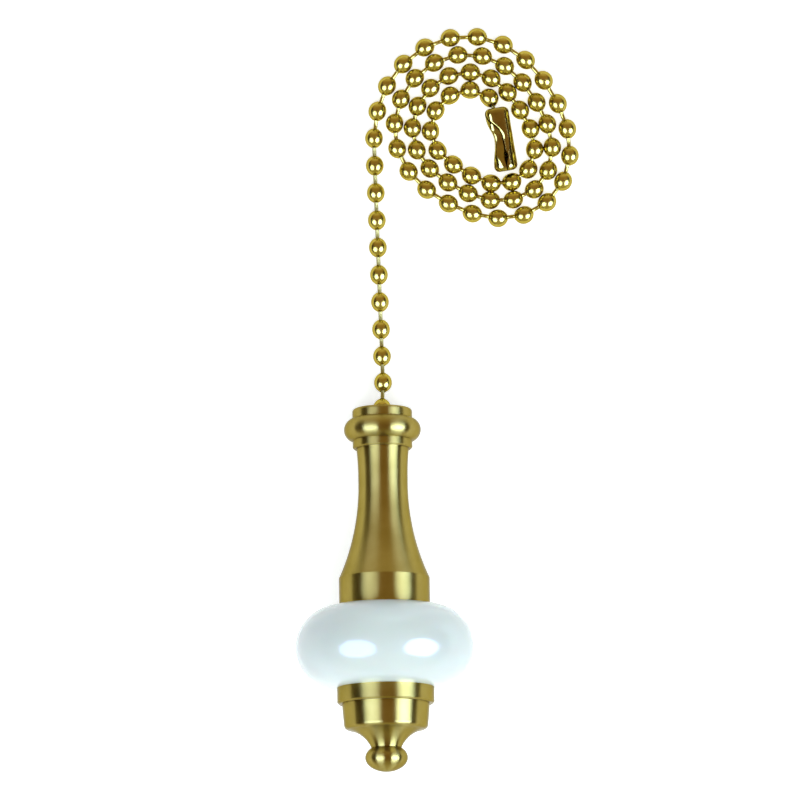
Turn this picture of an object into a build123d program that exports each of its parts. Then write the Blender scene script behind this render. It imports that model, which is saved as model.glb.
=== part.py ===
from build123d import *
import os
from math import acos, asin, atan2, cos, degrees, exp, radians, sin, sqrt

# A turned brass and white glass pendant on the end of a ball chain, lying on a flat surface.
# The pendant rests on the disc's rim and on the cap's bead, so its axis slopes down towards +Y,
# where the chain leaves it. Beyond the pendant the chain runs straight and then winds inwards
# into a flat coil, with its connector in the middle. Millimetres, +Z up, surface at z = 0.
# "Axial" is the distance along the pendant's axis from the disc's middle, + towards the chain.

# --- white disc ---
disc_r = 15.875            # 1-1/4 in across
disc_half = 7.25           # half the thickness, which is also the rim's radius
disc_hub_r = disc_r - disc_half
disc_bore_r = 2.25

# --- threaded rod through the middle ---
rod_r = 2.08               # No. 8 thread, drawn plain
rod_play = 0.03
rod_top = 16.6
rod_bottom = -12.6
rod_chamfer = 0.35
rod_room = 0.5             # air beyond each end of the rod

# --- stem, a vase shape ---
stem_base_r = 8.08
band_top = 12.34           # the straight band round the foot ends here
band_edge = 0.15
flare_r = 5.29             # the flare from the band to the waist curves through this point
flare_axial = 20.85
waist = 30.3               # the narrowest place
waist_r = 4.42
collar_r = 4.475           # halfway from the waist to the shoulder
shoulder = 35.7            # where the cap's skirt sits
shoulder_r = 4.68
spigot_r = 3.6
spigot_top = 40.1
pocket_r = 1.95            # the hollow for the captive ball
pocket_floor = 36.0

# --- chain retainer, a slotted washer ---
washer_r = 3.5
washer_top = 40.9
washer_slot = 0.9

# --- cap ---
cap_end = 42.9
cap_r = 5.35
cap_edge = 0.5
bead_axial = 39.15
bead_ring_r = 4.8          # radius of the circle that the bead's centre runs round
bead_r = 2.08
skirt_r = 5.33
skirt_edge = 0.25
cap_thread_r = spigot_r + 0.03
mouth_r = 1.85
mouth_edge = 0.2

# --- finial: seat ring, cup, neck and knob in one piece ---
seat_bottom = -9.83
seat_edge = 0.3
cup_top_r = 7.78
cup_foot_r = 7.45
cup_foot = -14.0
cup_edge_r = 7.32          # the cup's rounded lower edge curves through this point
cup_edge = -14.33
cove_start_r = 6.85
cove_start = -14.66
cove_mid_r = 4.55
cove_mid = -15.6
knob_axial = -19.7
knob_r = 3.78
knob_half = 2.5
neck = -17.93

# --- ball chain, No. 6 ---
ball_r = 1.6
ball_wall = 0.25
hole_r = 0.48
wire_r = 0.35
head_r = 0.55
pitch = 4.9                # from ball to ball with the chain pulled out
pivot_r = ball_r - ball_wall / 2      # a link turns where it passes through a ball's wall
head_in = 0.9              # from that pivot in to the middle of the link's head
mouth_ball_axial = 43.1
straight_balls = 9
dips = [23.6, 16.6]        # how steeply the first links go down, in degrees
first_lean = -2.8          # how far the first link leans to -X, in degrees: it leans to +X
run_lean = 1.4             # and the rest of the straight run

# --- flat coil: a spiral with two and three soft lobes ---
coil_x, coil_y = 17.91, 80.41
coil_r = 17.89             # mean radius at the start of the first turn
coil_step = 3.253          # how much each turn lies inside the last
lobe_2 = 1.336
lobe_3 = 0.486
lobe_turn = 221.0          # both lobes peak after this many degrees
start_out = 0.42           # how far the coil's first ball lies outside the spiral
start_turn = 12.0          # it eases in over about this many degrees
coil_begin = -2.1          # degrees turned at the first ball of the coil
coil_end = 1188.4          # and at the last
samples = 30               # outline points for each turn

# --- connector sleeve on the chain's free end ---
sleeve_x, sleeve_y = 22.0, 79.22
sleeve_heading = -81.2     # degrees from +X
sleeve_half = 5.74
sleeve_end = 0.9           # the ends curl in over this length
curl_in, curl_on = 0.225, 0.648       # how far in and on the curl is halfway round, outside
inner_curl_in, inner_curl_on = 0.18, 0.45    # and inside
sleeve_r = 2.17
sleeve_waist_r = 1.74
sleeve_wall = 0.3
sleeve_lip_r = 1.15
sleeve_slot = 0.8
end_ball_in = 2.15         # from the sleeve's end to the middle of the ball that it holds

# How the pendant lies: both rests touch z = 0.
rest_gap = sqrt((disc_hub_r - bead_ring_r) ** 2 + bead_axial ** 2)
tilt = degrees(
    atan2(disc_hub_r - bead_ring_r, bead_axial) + asin((disc_half - bead_r) / rest_gap)
)
down, along = sin(radians(tilt)), cos(radians(tilt))
disc_z = disc_half + disc_hub_r * along

# The origin is midway between the cap's furthest edge and the knob's furthest point.
cap_reach = cap_end * along + (cap_r - cap_edge) * down
knob_reach = -knob_axial * along + sqrt((knob_half * along) ** 2 + (knob_r * down) ** 2)
disc_y = (knob_reach - cap_reach) / 2

axis_up = Vector(0, along, -down)     # along the pendant's axis, towards the chain
disc_middle = Vector(0, disc_y, disc_z)
pendant_axis = Axis(disc_middle, axis_up)
# sketches of the turned pieces: X is the radius, Y is axial
turning = Plane(origin=disc_middle, x_dir=(1, 0, 0), z_dir=(0, down, along))

os.makedirs("parts", exist_ok=True)


def save(piece, name):
    piece.label = name
    export_step(piece, f"parts/{name}.step")


def on_axis(axial):
    return disc_middle + axis_up * axial


def heading(lean, dip):
    """A direction near +Y, leaning to -X and dipping, both in degrees."""
    flat = cos(radians(dip))
    return Vector(-sin(radians(lean)) * flat, cos(radians(lean)) * flat, -sin(radians(dip)))


# ---------------------------------------------------------------- pendant

with BuildPart() as disc:
    with BuildSketch(turning):
        with BuildLine():
            Polyline((disc_hub_r, disc_half), (disc_bore_r, disc_half),
                     (disc_bore_r, -disc_half), (disc_hub_r, -disc_half))
            ThreePointArc((disc_hub_r, -disc_half), (disc_r, 0), (disc_hub_r, disc_half))
        make_face()
    revolve(axis=pendant_axis)
save(disc.part, "white_disc")

with BuildPart() as rod:
    with BuildSketch(turning):
        with BuildLine():
            Polyline((0, rod_bottom), (rod_r - rod_chamfer, rod_bottom),
                     (rod_r, rod_bottom + rod_chamfer), (rod_r, rod_top - rod_chamfer),
                     (rod_r - rod_chamfer, rod_top), (0, rod_top), close=True)
        make_face()
    revolve(axis=pendant_axis)
save(rod.part, "threaded_rod")

with BuildPart() as stem:
    with BuildSketch(turning):
        with BuildLine():
            Polyline((rod_r + rod_play, disc_half), (stem_base_r - band_edge, disc_half),
                     (stem_base_r, disc_half + band_edge), (stem_base_r, band_top))
            ThreePointArc((stem_base_r, band_top), (flare_r, flare_axial), (waist_r, waist))
            ThreePointArc((waist_r, waist), (collar_r, (waist + shoulder) / 2),
                          (shoulder_r, shoulder))
            Polyline((shoulder_r, shoulder), (spigot_r, shoulder), (spigot_r, spigot_top),
                     (pocket_r, spigot_top), (pocket_r, pocket_floor), (0, pocket_floor),
                     (0, rod_top + rod_room), (rod_r + rod_play, rod_top + rod_room),
                     (rod_r + rod_play, disc_half))
        make_face()
    revolve(axis=pendant_axis)
save(stem.part, "stem")

with BuildPart() as retainer:
    with BuildSketch(Plane(origin=on_axis(spigot_top), x_dir=(1, 0, 0), z_dir=axis_up)):
        Circle(washer_r)
        Circle(washer_slot / 2, mode=Mode.SUBTRACT)
        with Locations((washer_r, 0)):
            Rectangle(2 * washer_r, washer_slot, mode=Mode.SUBTRACT)
    extrude(amount=washer_top - spigot_top)
save(retainer.part, "chain_retainer")

# The cap's outline: skirt, bead and a short neck, over a mouth, a ceiling and a threaded bore.
bead_low = bead_axial - sqrt(bead_r ** 2 - (skirt_r - bead_ring_r) ** 2)
bead_high = bead_axial + sqrt(bead_r ** 2 - (cap_r - bead_ring_r) ** 2)
with BuildPart() as cap:
    with BuildSketch(turning):
        with BuildLine():
            Polyline((cap_thread_r, shoulder), (skirt_r - skirt_edge, shoulder),
                     (skirt_r, shoulder + skirt_edge), (skirt_r, bead_low))
            ThreePointArc((skirt_r, bead_low), (bead_ring_r + bead_r, bead_axial),
                          (cap_r, bead_high))
            Line((cap_r, bead_high), (cap_r, cap_end - cap_edge))
            RadiusArc((cap_r, cap_end - cap_edge), (cap_r - cap_edge, cap_end), -cap_edge)
            Polyline((cap_r - cap_edge, cap_end), (mouth_r + mouth_edge, cap_end),
                     (mouth_r, cap_end - mouth_edge), (mouth_r, washer_top),
                     (cap_thread_r, washer_top), (cap_thread_r, shoulder))
        make_face()
    revolve(axis=pendant_axis)
save(cap.part, "top_cap")

neck_r = knob_r * sqrt(1 - ((neck - knob_axial) / knob_half) ** 2)
neck_angle = degrees(acos(neck_r / knob_r))
with BuildPart() as finial:
    with BuildSketch(turning):
        with BuildLine():
            Polyline((rod_r + rod_play, -disc_half), (disc_hub_r, -disc_half),
                     (disc_hub_r, seat_bottom), (disc_hub_r - seat_edge, seat_bottom - seat_edge),
                     (cup_top_r, seat_bottom - seat_edge), (cup_foot_r, cup_foot))
            ThreePointArc((cup_foot_r, cup_foot), (cup_edge_r, cup_edge),
                          (cove_start_r, cove_start))
            ThreePointArc((cove_start_r, cove_start), (cove_mid_r, cove_mid), (neck_r, neck))
            EllipticalCenterArc((0, knob_axial), knob_r, knob_half,
                                start_angle=-90, arc_size=90 + neck_angle)
            Polyline((0, knob_axial - knob_half), (0, rod_bottom - rod_room),
                     (rod_r + rod_play, rod_bottom - rod_room), (rod_r + rod_play, -disc_half))
        make_face()
    revolve(axis=pendant_axis)
save(finial.part, "finial")

# ---------------------------------------------------------------- ball chain

# Ball middles from the mouth ball to the last one before the coil.
ball_at = [on_axis(mouth_ball_axial)]
for n in range(straight_balls):
    lean = first_lean if n == 0 else run_lean
    if n < len(dips):
        step = heading(lean, dips[n]) * pitch
    elif n == len(dips):
        # the next link ends with its ball on the surface
        drop = ball_at[-1].Z - ball_r
        step = heading(lean, degrees(asin(drop / pitch))) * pitch
    else:
        step = heading(lean, 0) * pitch
    ball_at.append(ball_at[-1] + step)
captive_at = on_axis(mouth_ball_axial - pitch)


def coil_point(turned, outwards=0.0):
    """A point of the coil's route after so many degrees, moved out from its middle."""
    swing = radians(lobe_turn - turned)
    r = coil_r - coil_step * turned / 360 + lobe_2 * cos(2 * swing) + lobe_3 * cos(3 * swing)
    r += start_out * exp((coil_begin - turned) / start_turn)
    angle = radians(180 - turned)
    return Vector(coil_x + (r + outwards) * cos(angle), coil_y + (r + outwards) * sin(angle), 0)


coil_first = coil_point(coil_begin) + Vector(0, 0, ball_r)
coil_last = coil_point(coil_end) + Vector(0, 0, ball_r)


def chain_ball(middle, towards):
    """A hollow ball with a hole on the way to each neighbour."""
    with BuildPart() as ball:
        with Locations(middle):
            Sphere(ball_r)
            Sphere(ball_r - ball_wall, mode=Mode.SUBTRACT)
        for other in towards:
            with Locations(Plane(origin=middle, z_dir=other - middle)):
                Cylinder(hole_r, 2 * ball_r, align=(Align.CENTER, Align.CENTER, Align.MIN),
                         mode=Mode.SUBTRACT)
    return ball.part


def chain_link(start, end):
    """A wire with a round head inside each of the two balls that it joins."""
    way = (end - start).normalized()
    first = start + way * (pivot_r - head_in)
    last = end - way * (pivot_r - head_in)
    with BuildPart() as link:
        with Locations(Plane(origin=first, z_dir=way)):
            Cylinder(wire_r, (last - first).length,
                     align=(Align.CENTER, Align.CENTER, Align.MIN))
        with Locations(first, last):
            Sphere(head_r)
    return link.part


save(chain_ball(captive_at, [ball_at[0]]), "captive_ball")
save(chain_link(captive_at, ball_at[0]), "captive_link")
save(chain_ball(ball_at[0], [captive_at, ball_at[1]]), "mouth_ball")
save(chain_link(ball_at[0], ball_at[1]), "mouth_link")
run = ball_at + [coil_first]
for n in range(1, straight_balls + 1):
    save(chain_ball(run[n], [run[n - 1], run[n + 1]]), f"chain_ball_{n}")
    save(chain_link(run[n], run[n + 1]), f"chain_link_{n}")

# The coil as one solid: its outer turn's outer edge, its inner turn's inner edge, and at each
# end of the chain a step across to the next turn and a round end for the ball there.


def turn_edge(start, outwards):
    """One whole turn of the route, moved outwards, as points."""
    return [coil_point(start + 360 * n / samples, outwards) for n in range(samples + 1)]


outer_edge = turn_edge(coil_begin, ball_r)
inner_edge = turn_edge(coil_end - 360, -ball_r)
with BuildPart() as coil:
    with BuildSketch(Plane.XY):
        with BuildLine():
            Spline(*outer_edge)
            Line(outer_edge[-1], outer_edge[0])
        make_face()
        with BuildLine():
            Spline(*inner_edge)
            Line(inner_edge[-1], inner_edge[0])
        make_face(mode=Mode.SUBTRACT)
        with Locations((coil_first.X, coil_first.Y), (coil_last.X, coil_last.Y)):
            Circle(ball_r)
    extrude(amount=2 * ball_r)
save(coil.part, "chain_coil")

# ---------------------------------------------------------------- connector

sleeve_way = Vector(cos(radians(sleeve_heading)), sin(radians(sleeve_heading)), 0)
sleeve_middle = Vector(sleeve_x, sleeve_y, sleeve_r)
sleeve_axis = Axis(sleeve_middle, sleeve_way)
# X is the radius, drawn towards +Z, and Y runs along the sleeve to its free end
sleeve_plane = Plane(origin=sleeve_middle, x_dir=(0, 0, 1), z_dir=Vector(0, 0, 1).cross(sleeve_way))
end_ball_at = sleeve_middle - sleeve_way * (sleeve_half - end_ball_in)

with BuildPart() as sleeve:
    with BuildSketch(sleeve_plane):
        with BuildLine():
            bore = sleeve_r - sleeve_wall
            turn_in = sleeve_half - sleeve_end
            lip_in = sleeve_half - sleeve_wall
            shoulder_out = (sleeve_r - curl_in, turn_in + curl_on)
            shoulder_in = (bore - inner_curl_in, turn_in + inner_curl_on)
            ThreePointArc((sleeve_r, -turn_in), (sleeve_waist_r, 0), (sleeve_r, turn_in))
            ThreePointArc((sleeve_r, turn_in), shoulder_out, (sleeve_lip_r, sleeve_half))
            Line((sleeve_lip_r, sleeve_half), (sleeve_lip_r, lip_in))
            ThreePointArc((sleeve_lip_r, lip_in), shoulder_in, (bore, turn_in))
            ThreePointArc((bore, turn_in), (sleeve_waist_r - sleeve_wall, 0), (bore, -turn_in))
            ThreePointArc((bore, -turn_in), (shoulder_in[0], -shoulder_in[1]),
                          (sleeve_lip_r, -lip_in))
            Line((sleeve_lip_r, -lip_in), (sleeve_lip_r, -sleeve_half))
            ThreePointArc((sleeve_lip_r, -sleeve_half), (shoulder_out[0], -shoulder_out[1]),
                          (sleeve_r, -turn_in))
        make_face()
    revolve(axis=sleeve_axis)
    with BuildSketch(Plane.XY.offset(sleeve_r)):
        with Locations(Location((sleeve_x, sleeve_y), sleeve_heading)):
            Rectangle(2 * sleeve_half + 1, sleeve_slot)
    extrude(amount=2 * sleeve_r, mode=Mode.SUBTRACT)
save(sleeve.part, "connector_sleeve")
save(chain_ball(end_ball_at, [coil_last]), "connector_ball")
save(chain_link(coil_last, end_ball_at), "connector_link")

# ---------------------------------------------------------------- places used by the joints

steps = 600
coil_turned = coil_end - coil_begin
route = [coil_point(coil_begin + coil_turned * n / steps) for n in range(steps + 1)]
coil_length = sum((b - a).length for a, b in zip(route, route[1:]))
run_length = sum((b - a).length for a, b in zip(run, run[1:]))
end_length = (end_ball_at - coil_last).length
print(f"tilt {tilt:.3f} deg, disc middle {disc_middle}, axis {axis_up}")
print(f"straight run {run_length:.1f}, coil {coil_length:.1f}, last pitch {end_length:.2f}")
for n, (a, b) in enumerate(zip(run, run[1:])):
    way = (b - a).normalized()
    print(f"link {n}: ball {a}, near pivot {a + way * pivot_r}, far pivot {b - way * pivot_r}")
print(f"coil ends {coil_first} {coil_last}, connector ball {end_ball_at}, sleeve {sleeve_way}")
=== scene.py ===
import math

import bmesh
import bpy
from mathutils import Matrix, Vector


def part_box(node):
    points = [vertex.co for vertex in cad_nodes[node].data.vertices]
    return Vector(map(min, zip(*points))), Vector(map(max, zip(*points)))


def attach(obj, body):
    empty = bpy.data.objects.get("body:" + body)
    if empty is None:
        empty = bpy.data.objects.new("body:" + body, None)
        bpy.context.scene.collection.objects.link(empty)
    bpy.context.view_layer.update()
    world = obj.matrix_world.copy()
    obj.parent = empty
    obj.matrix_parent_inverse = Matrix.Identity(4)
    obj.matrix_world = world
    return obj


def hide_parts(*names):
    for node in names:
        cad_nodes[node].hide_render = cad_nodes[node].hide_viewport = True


# The looks of a turned brass and white glass pendant on a ball chain that ends in a flat coil.
# Metres, in the CAD's frame: the pendant lies along +Y on the floor at z = 0, and the chain runs
# on from its +Y end. "Axial" is the distance along the pendant's axis from the disc's middle.
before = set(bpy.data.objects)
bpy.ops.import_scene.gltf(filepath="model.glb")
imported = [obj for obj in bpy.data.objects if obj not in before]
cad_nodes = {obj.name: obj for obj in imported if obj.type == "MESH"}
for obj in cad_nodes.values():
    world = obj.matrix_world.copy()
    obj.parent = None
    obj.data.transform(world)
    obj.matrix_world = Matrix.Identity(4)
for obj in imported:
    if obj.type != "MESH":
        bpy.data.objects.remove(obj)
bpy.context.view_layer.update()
MM = 0.001

# ---------------------------------------------------------------- values repeated from part.py

TILT = math.radians(13.1322)             # how far the pendant's axis slopes down to +Y
DISC_MIDDLE = Vector((0, -10.5568, 15.6494)) * MM
AXIS_UP = Vector((0, math.cos(TILT), -math.sin(TILT)))
CAPTIVE_AXIAL = 38.2 * MM
MOUTH_AXIAL = 43.1 * MM

BALL_R = 1.6 * MM
BALL_WALL = 0.25 * MM
HOLE_R = 0.48 * MM
WIRE_R = 0.35 * MM
HEAD_R = 0.55 * MM
HEAD_IN = 0.575 * MM                     # from a ball's middle to the middle of the head inside it
STRAIGHT_BALLS = 9

COIL_MIDDLE = Vector((17.91, 80.41, 1.6)) * MM
COIL_R = 17.89 * MM
COIL_STEP = 3.253 * MM                   # how much nearer to the middle each turn lies
LOBE_2 = 1.336 * MM                      # how far the turns are drawn out to two sides
LOBE_3 = 0.486 * MM                      # and to three
LOBE_TURN = 221.0                        # degrees turned at which both point outwards
START_OUT = 0.42 * MM                    # how far out the route starts, to meet the straight run
START_TURN = 12.0                        # and over how many degrees that fades
COIL_BEGIN = -2.1                        # degrees
COIL_END = 1188.4
COIL_STEPS_PER_TURN = 36

SLEEVE_MIDDLE = Vector((22.0, 79.22, 2.17)) * MM
SLEEVE_HEADING = math.radians(-81.2)
SLEEVE_HALF = 5.74 * MM
SLEEVE_R = 2.17 * MM
SLEEVE_WALL = 0.3 * MM


# ---------------------------------------------------------------- camera

def aim(obj, target, roll=0.0):
    """Turns a camera or a light towards a point, with +Y up in its picture."""
    way = (target - obj.location).normalized()
    right = way.cross(Vector((0, 1, 0))).normalized()
    up = right.cross(way)
    turned_up = up * math.cos(roll) + right * math.sin(roll)
    turned_right = right * math.cos(roll) - up * math.sin(roll)
    obj.rotation_mode = "QUATERNION"
    obj.rotation_quaternion = Matrix((turned_right, turned_up, -way)).transposed().to_quaternion()


def make_camera():
    """A long lens, nearly straight above the pendant and leaning a little to one side."""
    stand = Vector((0.00323, 0.07343, 0.900))
    looked_at = Vector((0.00323, 0.03258, 0))
    data = bpy.data.cameras.new("camera")
    data.lens = 225
    data.sensor_width = 36
    data.clip_start = 0.01
    data.clip_end = 20
    cam = bpy.data.objects.new("camera", data)
    bpy.context.scene.collection.objects.link(cam)
    cam.location = stand
    aim(cam, looked_at, roll=math.radians(0.78))
    bpy.context.scene.camera = cam


# ---------------------------------------------------------------- mesh helpers

def mesh_object(name, bm):
    """A shaded object from a bmesh, which is freed."""
    bmesh.ops.recalc_face_normals(bm, faces=bm.faces)
    mesh = bpy.data.meshes.new(name)
    bm.to_mesh(mesh)
    bm.free()
    mesh.shade_smooth()
    obj = bpy.data.objects.new(name, mesh)
    bpy.context.scene.collection.objects.link(obj)
    return obj


def mark_sharp(obj, degrees):
    """Keeps edges crisp where the surface turns by more than this."""
    bm = bmesh.new()
    bm.from_mesh(obj.data)
    for edge in bm.edges:
        edge.smooth = not (edge.is_manifold and edge.calc_face_angle() > math.radians(degrees))
    bm.to_mesh(obj.data)
    bm.free()


def frame_along(way):
    """Two unit vectors square to a direction."""
    side = way.cross(Vector((0, 0, 1)))
    if side.length < 1e-6:
        side = Vector((1, 0, 0))
    side.normalize()
    return side, way.cross(side)


def add_turned(bm, profile, place, segments):
    """Adds a closed surface of revolution. profile is (along, radius) pairs in a loop that may
    start and end on the axis, and place(along, radius, angle) gives a point."""
    rings = []
    for along, radius in profile:
        if radius < 1e-9:
            rings.append([bm.verts.new(place(along, 0, 0))])
        else:
            rings.append([bm.verts.new(place(along, radius, 2 * math.pi * k / segments))
                          for k in range(segments)])
    closed = len(rings[0]) > 1
    pairs = list(zip(rings, rings[1:])) + ([(rings[-1], rings[0])] if closed else [])
    for one, two in pairs:
        for k in range(segments):
            n = (k + 1) % segments
            corners = [one[k % len(one)], one[n % len(one)], two[n % len(two)], two[k % len(two)]]
            bm.faces.new(list(dict.fromkeys(corners)))


def arc(middle, radius, start, end, steps):
    """Points of an arc, as (along, radius) pairs; angles in degrees from +along."""
    points = []
    for k in range(steps + 1):
        angle = math.radians(start + (end - start) * k / steps)
        points.append((middle[0] + radius * math.cos(angle), middle[1] + radius * math.sin(angle)))
    return points


# ---------------------------------------------------------------- chain

LIP_R = 0.08 * MM                        # the rolled edge of a ball's hole
BALL_STRETCH = 1.11                      # a ball is drawn out along its axis by this much
COIL_BALLS = 62


def ball_profile():
    """The outline of a hollow ball, slightly drawn out, with a rolled edge round each hole."""
    hole_side = math.degrees(math.asin((HOLE_R + 2 * LIP_R) / BALL_R))
    round_ball = arc((0, 0), BALL_R, hole_side, 180 - hole_side, 26)
    outside = [(along * BALL_STRETCH, radius) for along, radius in round_ball]
    edge = arc((outside[0][0], HOLE_R + LIP_R), LIP_R, -90, 30, 5)
    far_edge = [(-along, radius) for along, radius in reversed(edge)]
    inner_r = BALL_R - BALL_WALL
    hole_side = math.degrees(math.asin(HOLE_R / inner_r))
    inside = arc((0, 0), inner_r, 180 - hole_side, hole_side, 12)
    return edge + outside + far_edge + inside


def add_ball(bm, middle, before, after, segments=28):
    """Adds a ball whose two holes face its neighbours. Each ring of the ball turns about the
    ball's middle, so it stays round while its holes lean towards the inside of the bend."""
    to_before = (before - middle).normalized()
    to_after = (after - middle).normalized()
    way = (to_after - to_before).normalized()
    side, up = frame_along(way)
    bend_axis = way.cross(to_after)
    bend = way.angle(to_after)
    if bend_axis.length < 1e-6:
        bend_axis = up.copy()
    bend_axis.normalize()

    def place(along, radius, angle):
        out = way * along + (side * math.cos(angle) + up * math.sin(angle)) * radius
        share = along / math.hypot(along, radius)
        return middle + Matrix.Rotation(bend * share, 3, bend_axis) @ out

    add_turned(bm, ball_profile(), place, segments)


def add_link(bm, start, end, segments=16):
    """Adds a wire with a round head inside each of the two balls that it joins."""
    way = (end - start).normalized()
    side, up = frame_along(way)
    length = (end - start).length - 2 * HEAD_IN
    wire_side = math.degrees(math.asin(WIRE_R / HEAD_R))
    head = arc((0, 0), HEAD_R, 180, wire_side, 8)
    profile = head + [(length - along, radius) for along, radius in reversed(head)]

    def place(along, radius, angle):
        out = (side * math.cos(angle) + up * math.sin(angle)) * radius
        return start + way * (HEAD_IN + along) + out

    add_turned(bm, profile, place, segments)


def coil_point(turned):
    """A point of the coil's route after so many degrees."""
    swing = math.radians(LOBE_TURN - turned)
    r = COIL_R - COIL_STEP * turned / 360 + LOBE_2 * math.cos(2 * swing)
    r += LOBE_3 * math.cos(3 * swing) + START_OUT * math.exp((COIL_BEGIN - turned) / START_TURN)
    angle = math.radians(180 - turned)
    return COIL_MIDDLE + Vector((r * math.cos(angle), r * math.sin(angle), 0))


def coil_line():
    """The coil's centreline, read from a NURBS spline through its turns."""
    count = round((COIL_END - COIL_BEGIN) / 360 * COIL_STEPS_PER_TURN)
    route = [coil_point(COIL_BEGIN + (COIL_END - COIL_BEGIN) * k / count) for k in range(count + 1)]
    data = bpy.data.curves.new("coil_route", "CURVE")
    data.dimensions = "3D"
    spline = data.splines.new("NURBS")
    spline.points.add(len(route) - 1)
    for point, place in zip(spline.points, route):
        point.co = (*place, 1)
    spline.order_u = 3
    spline.use_endpoint_u = True
    spline.resolution_u = 6
    obj = bpy.data.objects.new("coil_route", data)
    mesh = bpy.data.meshes.new_from_object(obj)
    line = [v.co.copy() for v in mesh.vertices]
    bpy.data.meshes.remove(mesh)
    bpy.data.objects.remove(obj)
    bpy.data.curves.remove(data)
    return line


def coil_balls(line):
    """Ball middles along the coil. The chain lies pulled out at first and slack further in."""
    # from ball to ball, in mm; all are then scaled by one number to fill the route
    pulled_out, slackest = 4.88, 3.8
    easing, eased_from = 0.0265, 9
    pitches = [min(pulled_out, max(slackest, pulled_out - easing * (k - eased_from)))
               for k in range(COIL_BALLS - 1)]
    along = [0.0]
    for a, b in zip(line, line[1:]):
        along.append(along[-1] + (b - a).length)
    fit = along[-1] / sum(pitches)
    middles = [line[0]]
    at = 0.0
    i = 0
    for pitch in pitches[:-1]:
        at += pitch * fit
        while along[i + 1] < at:
            i += 1
        share = (at - along[i]) / (along[i + 1] - along[i])
        middles.append(line[i].lerp(line[i + 1], share))
    return middles + [line[-1]]


def middle_of(cad_node):
    low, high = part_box(cad_node)
    return (low + high) / 2


def make_piece(name, bm, body, material, stands_for):
    """An object from a bmesh, with its material, riding on a body in place of its CAD nodes."""
    obj = mesh_object(name, bm)
    obj.data.materials.append(material)
    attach(obj, body)
    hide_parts(*stands_for)
    return obj


def one_ball(name, body, metal, stands_for, before, middle, after):
    bm = bmesh.new()
    add_ball(bm, middle, before, after)
    return make_piece(name, bm, body, metal, [stands_for])


def one_link(name, body, metal, stands_for, start, end):
    bm = bmesh.new()
    add_link(bm, start, end)
    return make_piece(name, bm, body, metal, [stands_for])


def make_chain(ball_metal, wire_metal):
    """The coil first, then the straight run's balls and links. Returns the coil, its line, and
    the other pieces."""
    line = coil_line()
    turns = coil_balls(line)
    captive = DISC_MIDDLE + AXIS_UP * CAPTIVE_AXIAL
    run = [DISC_MIDDLE + AXIS_UP * MOUTH_AXIAL]
    run += [middle_of(f"chain_ball_{n}") for n in range(1, STRAIGHT_BALLS + 1)]
    run += [turns[0]]
    end_ball = middle_of("connector_ball")

    bm = bmesh.new()
    beyond = [run[-2]] + turns + [end_ball]
    for before, middle, after in zip(beyond, beyond[1:], beyond[2:]):
        add_ball(bm, middle, before, after)
    for start, end in zip(turns, turns[1:]):
        add_link(bm, start, end)
    coil = make_piece("coiled_chain", bm, "coil", ball_metal, ["chain_coil"])

    rest = []
    for n in range(1, STRAIGHT_BALLS + 1):
        rest.append(one_ball(f"ball_{n}", f"ball_{n}", ball_metal, f"chain_ball_{n}",
                             run[n - 1], run[n], run[n + 1]))
        body = "coil" if n == STRAIGHT_BALLS else f"link_{n}"
        rest.append(one_link(f"link_{n}", body, wire_metal, f"chain_link_{n}", run[n], run[n + 1]))
    rest.append(one_ball("ball_in_mouth", "chain_end", ball_metal, "mouth_ball",
                         captive, run[0], run[1]))
    rest.append(one_link("link_to_mouth", "mouth_link", wire_metal, "mouth_link", run[0], run[1]))
    rest.append(one_link("link_to_connector", "coil", wire_metal, "connector_link",
                         turns[-1], end_ball))
    rest.append(cad_nodes["connector_ball"])
    return coil, line, rest


# ---------------------------------------------------------------- connector

def smooth_step(low, high, value):
    """0 at low and 1 at high, with an eased rise between; low may be the larger."""
    t = min(1.0, max(0.0, (value - low) / (high - low)))
    return t * t * (3 - 2 * t)


def bell(middle, width, value):
    """1 at the middle, falling off smoothly to both sides."""
    return math.exp(-((value - middle) / width) ** 2)


def rounded_corner(first, second, power):
    """The radius under two limits, with the corner between them rounded, less at a high power."""
    return (first ** -power + second ** -power) ** (-1 / power)


def sleeve_seam(u):
    """Where the two edges of the rolled sheet meet, in degrees from the top towards the side
    that the sleeve is pinched on; u runs from -1 at the coil's end to 1 at the free end."""
    past_waist = -11
    across_waist = 92 * smooth_step(-0.08, -0.95, u)
    back_to_top = 5 * smooth_step(0.3, 0.8, u)
    return across_waist + past_waist + back_to_top


def sleeve_radius(u, angle, seam):
    """The sheet's outer radius, in mm. angle is in degrees from the top, + towards the pinched side,
    and from the seam that way the sheet is pressed down to a shelf under its other edge."""
    full = SLEEVE_R / MM
    flattened = 0.40                     # how far the top is pressed flat, but for its free end
    rolled_over = 0.16                   # how far the upper edge rolls down to the seam
    angle = (angle + 180) % 360 - 180
    upwards = math.cos(math.radians(angle))
    sideways = math.sin(math.radians(angle))
    plain = full
    if upwards > 0.2:
        flat = full - flattened * (1 - smooth_step(-0.10, 0.50, u))
        plain = rounded_corner(full, flat / upwards, 14)
    if angle < seam:
        at_seam = smooth_step(-13, 0, angle - seam)
        off_the_ends = 1 - smooth_step(0.6, 1.0, abs(u))
        return plain - rolled_over * at_seam * off_the_ends
    pinch = bell(-0.02, 0.38 if u < 0 else 0.58, u)
    wide = full - pinch
    high = full - 0.85 * pinch
    shelf = ((abs(upwards) / high) ** 6 + (abs(sideways) / wide) ** 6) ** (-1 / 6)
    above_the_floor = 1 - smooth_step(120, 165, angle)
    return plain + (min(plain, shelf) - plain) * above_the_floor


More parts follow.
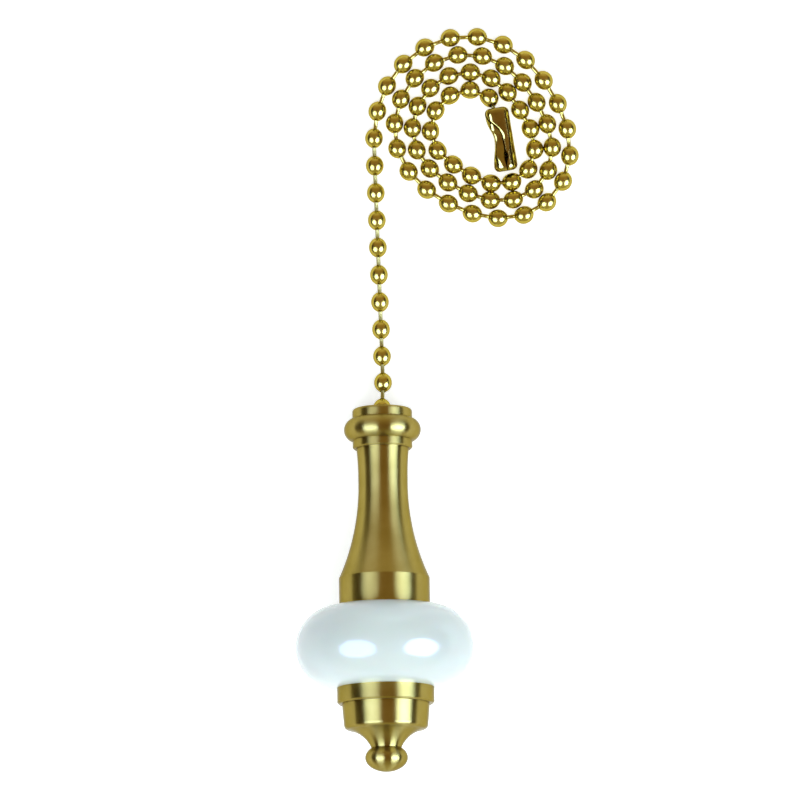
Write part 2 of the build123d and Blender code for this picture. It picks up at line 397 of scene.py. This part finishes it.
def make_connector(metal):
    """The sleeve, a rolled sheet with a seam, a pinched waist and ends that curl inwards."""
    way = Vector((math.cos(SLEEVE_HEADING), math.sin(SLEEVE_HEADING), 0))
    up = Vector((0, 0, 1))
    side = way.cross(up)                 # towards the pinched side
    # in mm
    half = SLEEVE_HALF / MM
    wall = SLEEVE_WALL / MM
    curl = 1.0                           # the ends curl in over this length
    lip = 1.2                            # the radius of the opening that they leave
    inner_curl = 0.92                    # the inside curls in by this share of the outside
    # in degrees
    seam_half = 3.0                      # half the seam's opening
    slot_half = 10.0                     # how much wider each side it opens, for the wire
    slot_at, slot_length = 0.55, 0.16    # where along the sleeve, as u
    around = 120
    lengthwise = 56
    # stations along the sleeve: (y in mm, curl angle in degrees)
    stations = [(-half + curl, a) for a in range(-90, 0, 10)]
    stations += [(-half + curl + (2 * half - 2 * curl) * k / lengthwise, 0)
                 for k in range(lengthwise + 1)]
    stations += [(half - curl, a) for a in range(10, 91, 10)]

    def point(station, k, depth):
        straight, angle = station
        u = straight / half
        seam = sleeve_seam(u)
        opening = seam_half + slot_half * bell(slot_at, slot_length, u)
        turn = seam - opening - (360 - 2 * opening) * k / around
        full = sleeve_radius(u, turn, seam)
        bent = math.radians(abs(angle))
        r = full - depth - (full - lip) * (1 - math.cos(bent)) * (inner_curl if depth else 1)
        reach = (curl - depth) * math.sin(bent)
        y = straight + math.copysign(reach, angle) if angle else straight
        turn = math.radians(turn)
        out = side * math.sin(turn) + up * math.cos(turn)
        return SLEEVE_MIDDLE + (way * y + out * r) * MM

    bm = bmesh.new()
    outer = [[bm.verts.new(point(s, k, 0)) for k in range(around + 1)] for s in stations]
    inner = [[bm.verts.new(point(s, k, wall)) for k in range(around + 1)] for s in stations]
    last = len(stations) - 1
    for i in range(last):
        for k in range(around):
            bm.faces.new((outer[i][k], outer[i][k + 1], outer[i + 1][k + 1], outer[i + 1][k]))
            bm.faces.new((inner[i][k], inner[i + 1][k], inner[i + 1][k + 1], inner[i][k + 1]))
        for k in (0, around):
            bm.faces.new((outer[i][k], outer[i + 1][k], inner[i + 1][k], inner[i][k]))
    for i in (0, last):
        for k in range(around):
            bm.faces.new((outer[i][k], outer[i][k + 1], inner[i][k + 1], inner[i][k]))
    obj = make_piece("connector", bm, "connector", metal, ["connector_sleeve"])
    mark_sharp(obj, 50)
    return obj


# ---------------------------------------------------------------- materials

def shader(name, **values):
    """A material with a Principled shader, its uniform values set on its own sockets."""
    material = bpy.data.materials.new(name)
    material.use_nodes = True
    bsdf = material.node_tree.nodes["Principled BSDF"]
    for key, value in values.items():
        bsdf.inputs[key.replace("_", " ")].default_value = value
    return material, material.node_tree, bsdf


def node(tree, kind, **settings):
    """A shader node, with its settings."""
    made = tree.nodes.new(kind)
    for key, value in settings.items():
        setattr(made, key, value)
    return made


def vector_math(tree, operation, first, second):
    """Sums on two vectors. Each is a fixed vector or another node's output."""
    made = node(tree, "ShaderNodeVectorMath", operation=operation)
    for socket, value in zip(made.inputs, (first, second)):
        if isinstance(value, bpy.types.NodeSocket):
            tree.links.new(value, socket)
        else:
            socket.default_value = value
    return made.outputs["Value" if operation == "DOT_PRODUCT" else "Vector"]


def colour_mix(tree, share, first, second):
    """A colour between two, by a share from 0 to 1. Each is a colour or another node's output."""
    made = node(tree, "ShaderNodeMix", data_type="RGBA")
    tree.links.new(share, made.inputs["Factor"])
    ends = [s for s in made.inputs if s.type == "RGBA"]
    for socket, value in zip(ends, (first, second)):
        if isinstance(value, bpy.types.NodeSocket):
            tree.links.new(value, socket)
        else:
            socket.default_value = (*value, 1)
    return next(s for s in made.outputs if s.type == "RGBA")


def ranged(tree, value, low, high, start=0.0, end=1.0):
    """value from start..end moved to low..high."""
    made = node(tree, "ShaderNodeMapRange")
    tree.links.new(value, made.inputs["Value"])
    for name, number in (("From Min", start), ("From Max", end), ("To Min", low), ("To Max", high)):
        made.inputs[name].default_value = number
    return made.outputs["Result"]


def bump(tree, height, distance, strength):
    made = node(tree, "ShaderNodeBump")
    made.inputs["Distance"].default_value = distance
    made.inputs["Strength"].default_value = strength
    tree.links.new(height, made.inputs["Height"])
    return made.outputs["Normal"]


def noise(tree, scale, detail, vector=None, w=None):
    """Noise in space, or along one line where w is given."""
    made = node(tree, "ShaderNodeTexNoise", noise_dimensions="1D" if w else "3D")
    made.inputs["Scale"].default_value = scale
    made.inputs["Detail"].default_value = detail
    if w:
        tree.links.new(w, made.inputs["W"])
    if vector:
        tree.links.new(vector, made.inputs["Vector"])
    return made.outputs["Fac"]


def turned_brass():
    """Satin brass off a lathe: fine lines run round it, and its gloss spreads along its axis."""
    material, tree, bsdf = shader("turned_brass", Metallic=1.0, Anisotropic=0.97,
                                  Specular_Tint=(0.56, 0.52, 0.42, 1),
                                  Coat_Weight=0.08, Coat_Roughness=0.14)
    here = node(tree, "ShaderNodeTexCoord").outputs["Object"]
    from_middle = vector_math(tree, "SUBTRACT", here, DISC_MIDDLE)
    axial = vector_math(tree, "DOT_PRODUCT", from_middle, AXIS_UP)
    lathe_lines = noise(tree, 2600, 1.0, w=axial)
    cloud = noise(tree, 260, 3.0, vector=here)
    tone = colour_mix(tree, ranged(tree, cloud, 0.0, 1.0, 0.3, 0.7),
                      (0.28, 0.205, 0.040), (0.33, 0.245, 0.055))
    tree.links.new(tone, bsdf.inputs["Base Color"])
    tree.links.new(ranged(tree, cloud, 0.284, 0.306, 0.2, 0.8), bsdf.inputs["Roughness"])
    tree.links.new(bump(tree, lathe_lines, 0.000001, 0.5), bsdf.inputs["Normal"])
    # the gloss spreads along the axis, and outwards on a face that is square to it
    outwards = node(tree, "ShaderNodeVectorMath", operation="SCALE")
    tree.links.new(from_middle, outwards.inputs["Vector"])
    outwards.inputs["Scale"].default_value = 8.0
    spread_way = vector_math(tree, "ADD", outwards.outputs["Vector"], AXIS_UP)
    turned = node(tree, "ShaderNodeVectorTransform", vector_type="VECTOR",
                  convert_from="OBJECT", convert_to="WORLD")
    tree.links.new(spread_way, turned.inputs["Vector"])
    tree.links.new(turned.outputs["Vector"], bsdf.inputs["Tangent"])
    return material


def plain_brass(name, dark, light, roughness, dent, scale):
    """Bright drawn or rolled brass with slight mottling, that stays golden towards its rims.
    roughness is its low and its high, and dent is the mottling's depth in metres."""
    material, tree, bsdf = shader(name, Metallic=1.0, Specular_Tint=(0.64, 0.56, 0.36, 1))
    here = node(tree, "ShaderNodeTexCoord").outputs["Object"]
    cloud = noise(tree, scale, 3.0, vector=here)
    tone = colour_mix(tree, ranged(tree, cloud, 0.0, 1.0, 0.3, 0.7), dark, light)
    tree.links.new(tone, bsdf.inputs["Base Color"])
    fine = noise(tree, scale * 3, 2.0, vector=here)
    tree.links.new(ranged(tree, fine, *roughness, 0.3, 0.7), bsdf.inputs["Roughness"])
    tree.links.new(bump(tree, cloud, dent, 0.5), bsdf.inputs["Normal"])
    return material


def white_glass():
    """Glossy opal glass, faintly cloudy, with a hair of waviness in its polish."""
    material, tree, bsdf = shader("white_glass", IOR=1.5, Subsurface_Weight=0.12,
                                  Subsurface_Scale=0.002)
    here = node(tree, "ShaderNodeTexCoord").outputs["Object"]
    cloud = noise(tree, 90, 3.0, vector=here)
    tone = colour_mix(tree, ranged(tree, cloud, 0.0, 1.0, 0.35, 0.65),
                      (0.83, 0.90, 0.91), (0.86, 0.93, 0.94))
    tree.links.new(tone, bsdf.inputs["Base Color"])
    speck = noise(tree, 1200, 2.0, vector=here)
    tree.links.new(ranged(tree, speck, 0.10, 0.16, 0.3, 0.7), bsdf.inputs["Roughness"])
    tree.links.new(bump(tree, cloud, 0.00002, 0.3), bsdf.inputs["Normal"])
    return material


def make_materials():
    """Every material of the object, by its slot's name."""
    return {
        "turned_brass": turned_brass(),
        "plain_brass": plain_brass("plain_brass", dark=(0.55, 0.40, 0.14), light=(0.66, 0.50, 0.20),
                                   roughness=(0.29, 0.36), dent=0.000004, scale=900),
        "chain_balls": plain_brass("chain_balls", dark=(0.40, 0.30, 0.045), light=(0.46, 0.35, 0.065),
                                   roughness=(0.19, 0.25), dent=0.000003, scale=800),
        "chain_wire": plain_brass("chain_wire", dark=(0.28, 0.22, 0.05), light=(0.33, 0.26, 0.07),
                                  roughness=(0.40, 0.50), dent=0.000002, scale=1500),
        "connector_brass": plain_brass("connector_brass", dark=(0.31, 0.24, 0.045),
                                       light=(0.40, 0.31, 0.075), roughness=(0.10, 0.16),
                                       dent=0.000040, scale=480),
        "white_glass": white_glass(),
    }


def dress_nodes(materials):
    """Gives the CAD pieces that stay their finished materials."""
    dressed = {
        "stem": "turned_brass", "top_cap": "turned_brass", "finial": "turned_brass",
        "threaded_rod": "plain_brass", "chain_retainer": "plain_brass",
        "white_disc": "white_glass",
        "captive_ball": "chain_balls", "connector_ball": "chain_balls",
        "captive_link": "chain_wire",
    }
    for name, material in dressed.items():
        for held in cad_nodes[name].material_slots:
            held.material = materials[material]


# ---------------------------------------------------------------- studio

def make_floor():
    """A plain pale sheet, lit from below like a light table, which leaves the shadows faint."""
    bm = bmesh.new()
    reach = 2.5
    just_below = -0.0001
    corners = [bm.verts.new((x, y, just_below)) for x, y in
               ((-reach, -reach), (reach, -reach), (reach, reach), (-reach, reach))]
    bm.faces.new(corners)
    floor = mesh_object("floor", bm)
    material, tree, bsdf = shader("floor", Specular_IOR_Level=0.1)
    here = node(tree, "ShaderNodeTexCoord").outputs["Object"]
    cloud = noise(tree, 3, 2.0, vector=here)
    tone = colour_mix(tree, cloud, (0.80, 0.80, 0.80), (0.82, 0.82, 0.82))
    tree.links.new(tone, bsdf.inputs["Base Color"])
    bsdf.inputs["Roughness"].default_value = 0.8
    bsdf.inputs["Emission Color"].default_value = (1.0, 1.0, 1.0, 1)
    bsdf.inputs["Emission Strength"].default_value = 0.64
    floor.data.materials.append(material)


def area_light(name, place, target, width, height, radiance, colour, shape="ELLIPSE"):
    """A flat light that faces the target, as bright however large it is."""
    data = bpy.data.lights.new(name, "AREA")
    data.shape = shape
    data.size, data.size_y = width, height
    area = width * height * (math.pi / 4 if shape == "ELLIPSE" else 1)
    data.energy = radiance * math.pi * area
    data.color = colour
    light = bpy.data.objects.new(name, data)
    bpy.context.scene.collection.objects.link(light)
    light.location = place
    aim(light, Vector(target))
    return light


def softbox(name, place, middle, size, shine, shade, shine_colour):
    """A round studio light in two parts: one that is seen in reflections, as bright as shine, and
    one that lights the matt surfaces, as bright as shade."""
    matt_colour = (0.88, 1.0, 1.0)
    seen = area_light(f"{name}_in_reflections", place, middle, size, size, shine, shine_colour)
    seen.visible_diffuse = False
    lit = area_light(f"{name}_on_matt", place, middle, size, size, shade, matt_colour)
    lit.visible_glossy = False


def make_lights():
    middle = (0, 0.03, 0.01)
    cool = (0.36, 0.52, 1.1)
    softbox("left_softbox", (-0.395, -0.19, 0.56), middle, 0.60, 15.0, 1.4, cool)
    softbox("right_softbox", (0.54, -0.18, 0.50), middle, 0.62, 24.0, 3.2, cool)
    fill = area_light("overhead_fill", (0.1, -0.3, 1.2), middle, 1.5, 1.5, 2.8, (0.90, 1.0, 1.0),
                      "RECTANGLE")
    fill.visible_glossy = False


def make_world():
    """A dim warm room: brown overhead, golden and then pale towards +Y, where the paper rises,
    duller low down towards -Y, and dark to both sides."""
    world = bpy.data.worlds.new("room")
    bpy.context.scene.world = world
    world.use_nodes = True
    tree = world.node_tree
    here = node(tree, "ShaderNodeTexCoord").outputs["Generated"]
    forward = vector_math(tree, "DOT_PRODUCT", here, (0, 1, 0))
    sideways = node(tree, "ShaderNodeMath", operation="ABSOLUTE")
    tree.links.new(vector_math(tree, "DOT_PRODUCT", here, (1, 0, 0)), sideways.inputs[0])
    overhead = colour_mix(tree, ranged(tree, forward, 0.0, 1.0, 0.0, 0.8),
                          (0.36, 0.21, 0.09), (0.60, 0.44, 0.22))
    low_down = colour_mix(tree, ranged(tree, forward, 0.0, 1.0, -0.45, -0.9), overhead,
                          (0.70, 0.67, 0.38))
    paper = colour_mix(tree, ranged(tree, forward, 0.0, 1.0, 0.72, 0.92), low_down,
                       (0.95, 0.86, 0.66))
    dark = colour_mix(tree, ranged(tree, sideways.outputs[0], 0.0, 1.0, 0.70, 0.87), paper,
                      (0.07, 0.05, 0.02))
    tree.links.new(dark, tree.nodes["Background"].inputs["Color"])
    world.cycles_visibility.diffuse = False


# ---------------------------------------------------------------- all of it

make_camera()
materials = make_materials()
coil, line, run_pieces = make_chain(materials["chain_balls"], materials["chain_wire"])
connector = make_connector(materials["connector_brass"])
dress_nodes(materials)
make_floor()
make_lights()
make_world()
bpy.context.scene.view_settings.view_transform = "Standard"
